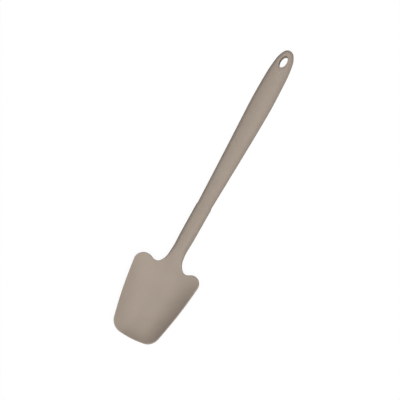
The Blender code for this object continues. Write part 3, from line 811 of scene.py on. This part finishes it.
def handle_mesh(context, material):
    """The handle as a closed mesh: its plan as the node tree lifts it."""
    sizes = context.scene.spoon_sizes
    values = handle_sizes(sizes)
    plan = bpy.data.objects.new("handle_plan", handle_plan(sizes))
    context.scene.collection.objects.link(plan)
    modifier = plan.modifiers.new("Handle moulding", "NODES")
    modifier.node_group = handle_tree(material, values)
    for item in modifier.node_group.interface.items_tree:
        if item.in_out == "INPUT" and item.name in values:
            modifier[item.identifier] = values[item.name]
    context.view_layer.update()
    evaluated = plan.evaluated_get(context.evaluated_depsgraph_get())
    data = bpy.data.meshes.new_from_object(evaluated)
    bpy.data.objects.remove(plan, do_unlink=True)
    if not data.polygons:
        raise RuntimeError("the handle's node tree made no faces")
    for name in PLAN_ATTRIBUTES:
        data.attributes.remove(data.attributes[name])
    mesh = bmesh.new()
    mesh.from_mesh(data)
    bmesh.ops.recalc_face_normals(mesh, faces=mesh.faces)
    mesh.to_mesh(data)
    mesh.free()
    return data


# Pieces

def add_piece(name, data, material, node):
    """Puts a finished mesh in the scene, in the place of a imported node."""
    data.name = name
    data.materials.clear()
    data.materials.append(material)
    data.shade_smooth()
    data.set_sharp_from_angle(angle=SMOOTH_ANGLE)
    piece = bpy.data.objects.new(name, data)
    bpy.context.scene.collection.objects.link(piece)
    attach(piece, "root")
    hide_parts(node)
    return piece


def shared_material(name, make, context):
    """The material of that name, made if it isn't there yet."""
    return bpy.data.materials.get(name) or make(context.scene.spoon_finishes)


class SPOON_OT_head(bpy.types.Operator):
    """Builds the head moulding: scoop, neck and sleeve"""

    bl_idname = "spoon.head"
    bl_label = "Head moulding"

    def execute(self, context):
        silicone = shared_material("moulded_silicone", moulded_silicone, context)
        data = head_mesh(context.scene.spoon_sizes)
        add_piece("head_moulding", data, silicone, "silicone_head")
        return {"FINISHED"}


class SPOON_OT_handle(bpy.types.Operator):
    """Builds the handle moulding, with its hanging hole"""

    bl_idname = "spoon.handle"
    bl_label = "Handle moulding"

    def execute(self, context):
        silicone = shared_material("moulded_silicone", moulded_silicone, context)
        data = handle_mesh(context, silicone)
        add_piece("handle_moulding", data, silicone, "handle_grip")
        return {"FINISHED"}


class SPOON_OT_core(bpy.types.Operator):
    """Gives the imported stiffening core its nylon"""

    bl_idname = "spoon.core"
    bl_label = "Stiffening core"

    def execute(self, context):
        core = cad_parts["stiffening_core"]
        nylon = shared_material("moulded_glass_filled_nylon", moulded_nylon, context)
        core.data.materials.clear()
        core.data.materials.append(nylon)
        return {"FINISHED"}


# Stage

def seen_directly(tree):
    """1 for a ray from the camera, a glossy surface or a clear one, which see the white."""
    ray = add_node(tree, "ShaderNodeLightPath").outputs
    first = add_maths(tree, "MAXIMUM", ray["Is Camera Ray"], ray["Is Glossy Ray"])
    return add_maths(tree, "MAXIMUM", first, ray["Is Transmission Ray"])


def floor_finish(stage):
    """Pale matt board, washed out to white where it is seen, with a trace of the shadow left."""
    material, tree = new_material("pale_board")
    seen = seen_directly(tree)
    wash = add_maths(tree, "MULTIPLY", seen, stage.wash)
    colour = mixed_colour(tree, seen, stage.floor[:], WHITE)
    board = add_node(tree, "ShaderNodeBsdfDiffuse", {}, {"Color": colour})
    white = add_node(tree, "ShaderNodeEmission", {}, {"Strength": 1.0})
    mixed = add_node(tree, "ShaderNodeMixShader", {}, {0: wash, 1: board, 2: white})
    add_node(tree, "ShaderNodeOutputMaterial", {}, {"Surface": mixed})
    return material


def light_world(stage):
    """Soft light, strongest overhead and none near the horizon, and white where it is seen."""
    world = bpy.data.worlds.new("studio")
    world.use_nodes = True
    tree = world.node_tree
    tree.nodes.clear()
    direction = add_node(tree, "ShaderNodeSeparateXYZ", {}, {
        0: add_node(tree, "ShaderNodeTexCoord").outputs["Generated"]})
    overhead = add_range(tree, direction.outputs["Z"], FILL_LOWEST, 1.0, 0.0, stage.fill)
    strength = add_node(tree, "ShaderNodeMix", {"data_type": "FLOAT"}, {
        "Factor": seen_directly(tree), NUMBER_A: overhead, NUMBER_B: 1.0})
    background = add_node(tree, "ShaderNodeBackground", {}, {
        "Color": WHITE, "Strength": strength})
    add_node(tree, "ShaderNodeOutputWorld", {}, {"Surface": background})
    bpy.context.scene.world = world


class SPOON_OT_stage(bpy.types.Operator):
    """Sets up the floor, the light and the camera"""

    bl_idname = "spoon.stage"
    bl_label = "Stage"

    def execute(self, context):
        scene = context.scene
        stage = scene.spoon_stage
        scene.view_settings.view_transform = "Standard"
        data = bpy.data.meshes.new("floor")
        corners = ((-1, -1), (1, -1), (1, 1), (-1, 1))
        data.from_pydata([(x * FLOOR_REACH, y * FLOOR_REACH, 0.0) for x, y in corners], [],
                         [(0, 1, 2, 3)])
        data.materials.append(floor_finish(stage))
        floor = bpy.data.objects.new("floor", data)
        scene.collection.objects.link(floor)
        light_world(stage)
        lamp = bpy.data.lights.new("key", "AREA")
        lamp.shape = "DISK"
        lamp.size = KEY_SIZE
        lamp.energy = stage.key
        key = bpy.data.objects.new("key", lamp)
        away = Vector((cos(stage.key_heading) * cos(stage.key_elevation),
                       sin(stage.key_heading) * cos(stage.key_elevation),
                       sin(stage.key_elevation)))
        key.location = away * KEY_DISTANCE
        key.rotation_euler = away.to_track_quat("Z", "Y").to_euler()
        scene.collection.objects.link(key)
        lens = bpy.data.cameras.new("camera")
        lens.lens = stage.lens
        camera = bpy.data.objects.new("camera", lens)
        camera.location = stage.camera_place
        camera.rotation_euler = stage.camera_turn
        scene.collection.objects.link(camera)
        scene.camera = camera
        return {"FINISHED"}


class SPOON_PT_panel(bpy.types.Panel):
    """Lists the spoon's sizes, finishes and pieces"""

    bl_label = "Serving spoon"
    bl_idname = "SPOON_PT_panel"
    bl_space_type = "VIEW_3D"
    bl_region_type = "UI"
    bl_category = "Spoon"

    def draw(self, context):
        scene = context.scene
        for group in (scene.spoon_sizes, scene.spoon_finishes, scene.spoon_stage):
            box = self.layout.box()
            for name in group.__annotations__:
                box.prop(group, name)
        for operator in OPERATORS:
            self.layout.operator(operator.bl_idname)


OPERATORS = (SPOON_OT_head, SPOON_OT_handle, SPOON_OT_core, SPOON_OT_stage)
GROUPS = {"spoon_sizes": SpoonSizes, "spoon_finishes": SpoonFinishes, "spoon_stage": SpoonStage}
CLASSES = (*GROUPS.values(), *OPERATORS, SPOON_PT_panel)


def register():
    for kind in CLASSES:
        bpy.utils.register_class(kind)
    for name, group in GROUPS.items():
        setattr(bpy.types.Scene, name, PointerProperty(type=group))


def unregister():
    for name in GROUPS:
        delattr(bpy.types.Scene, name)
    for kind in reversed(CLASSES):
        bpy.utils.unregister_class(kind)


def main():
    register()
    bpy.ops.spoon.head()
    bpy.ops.spoon.handle()
    bpy.ops.spoon.core()
    bpy.ops.spoon.stage()


if __name__ == "__main__":
    main()
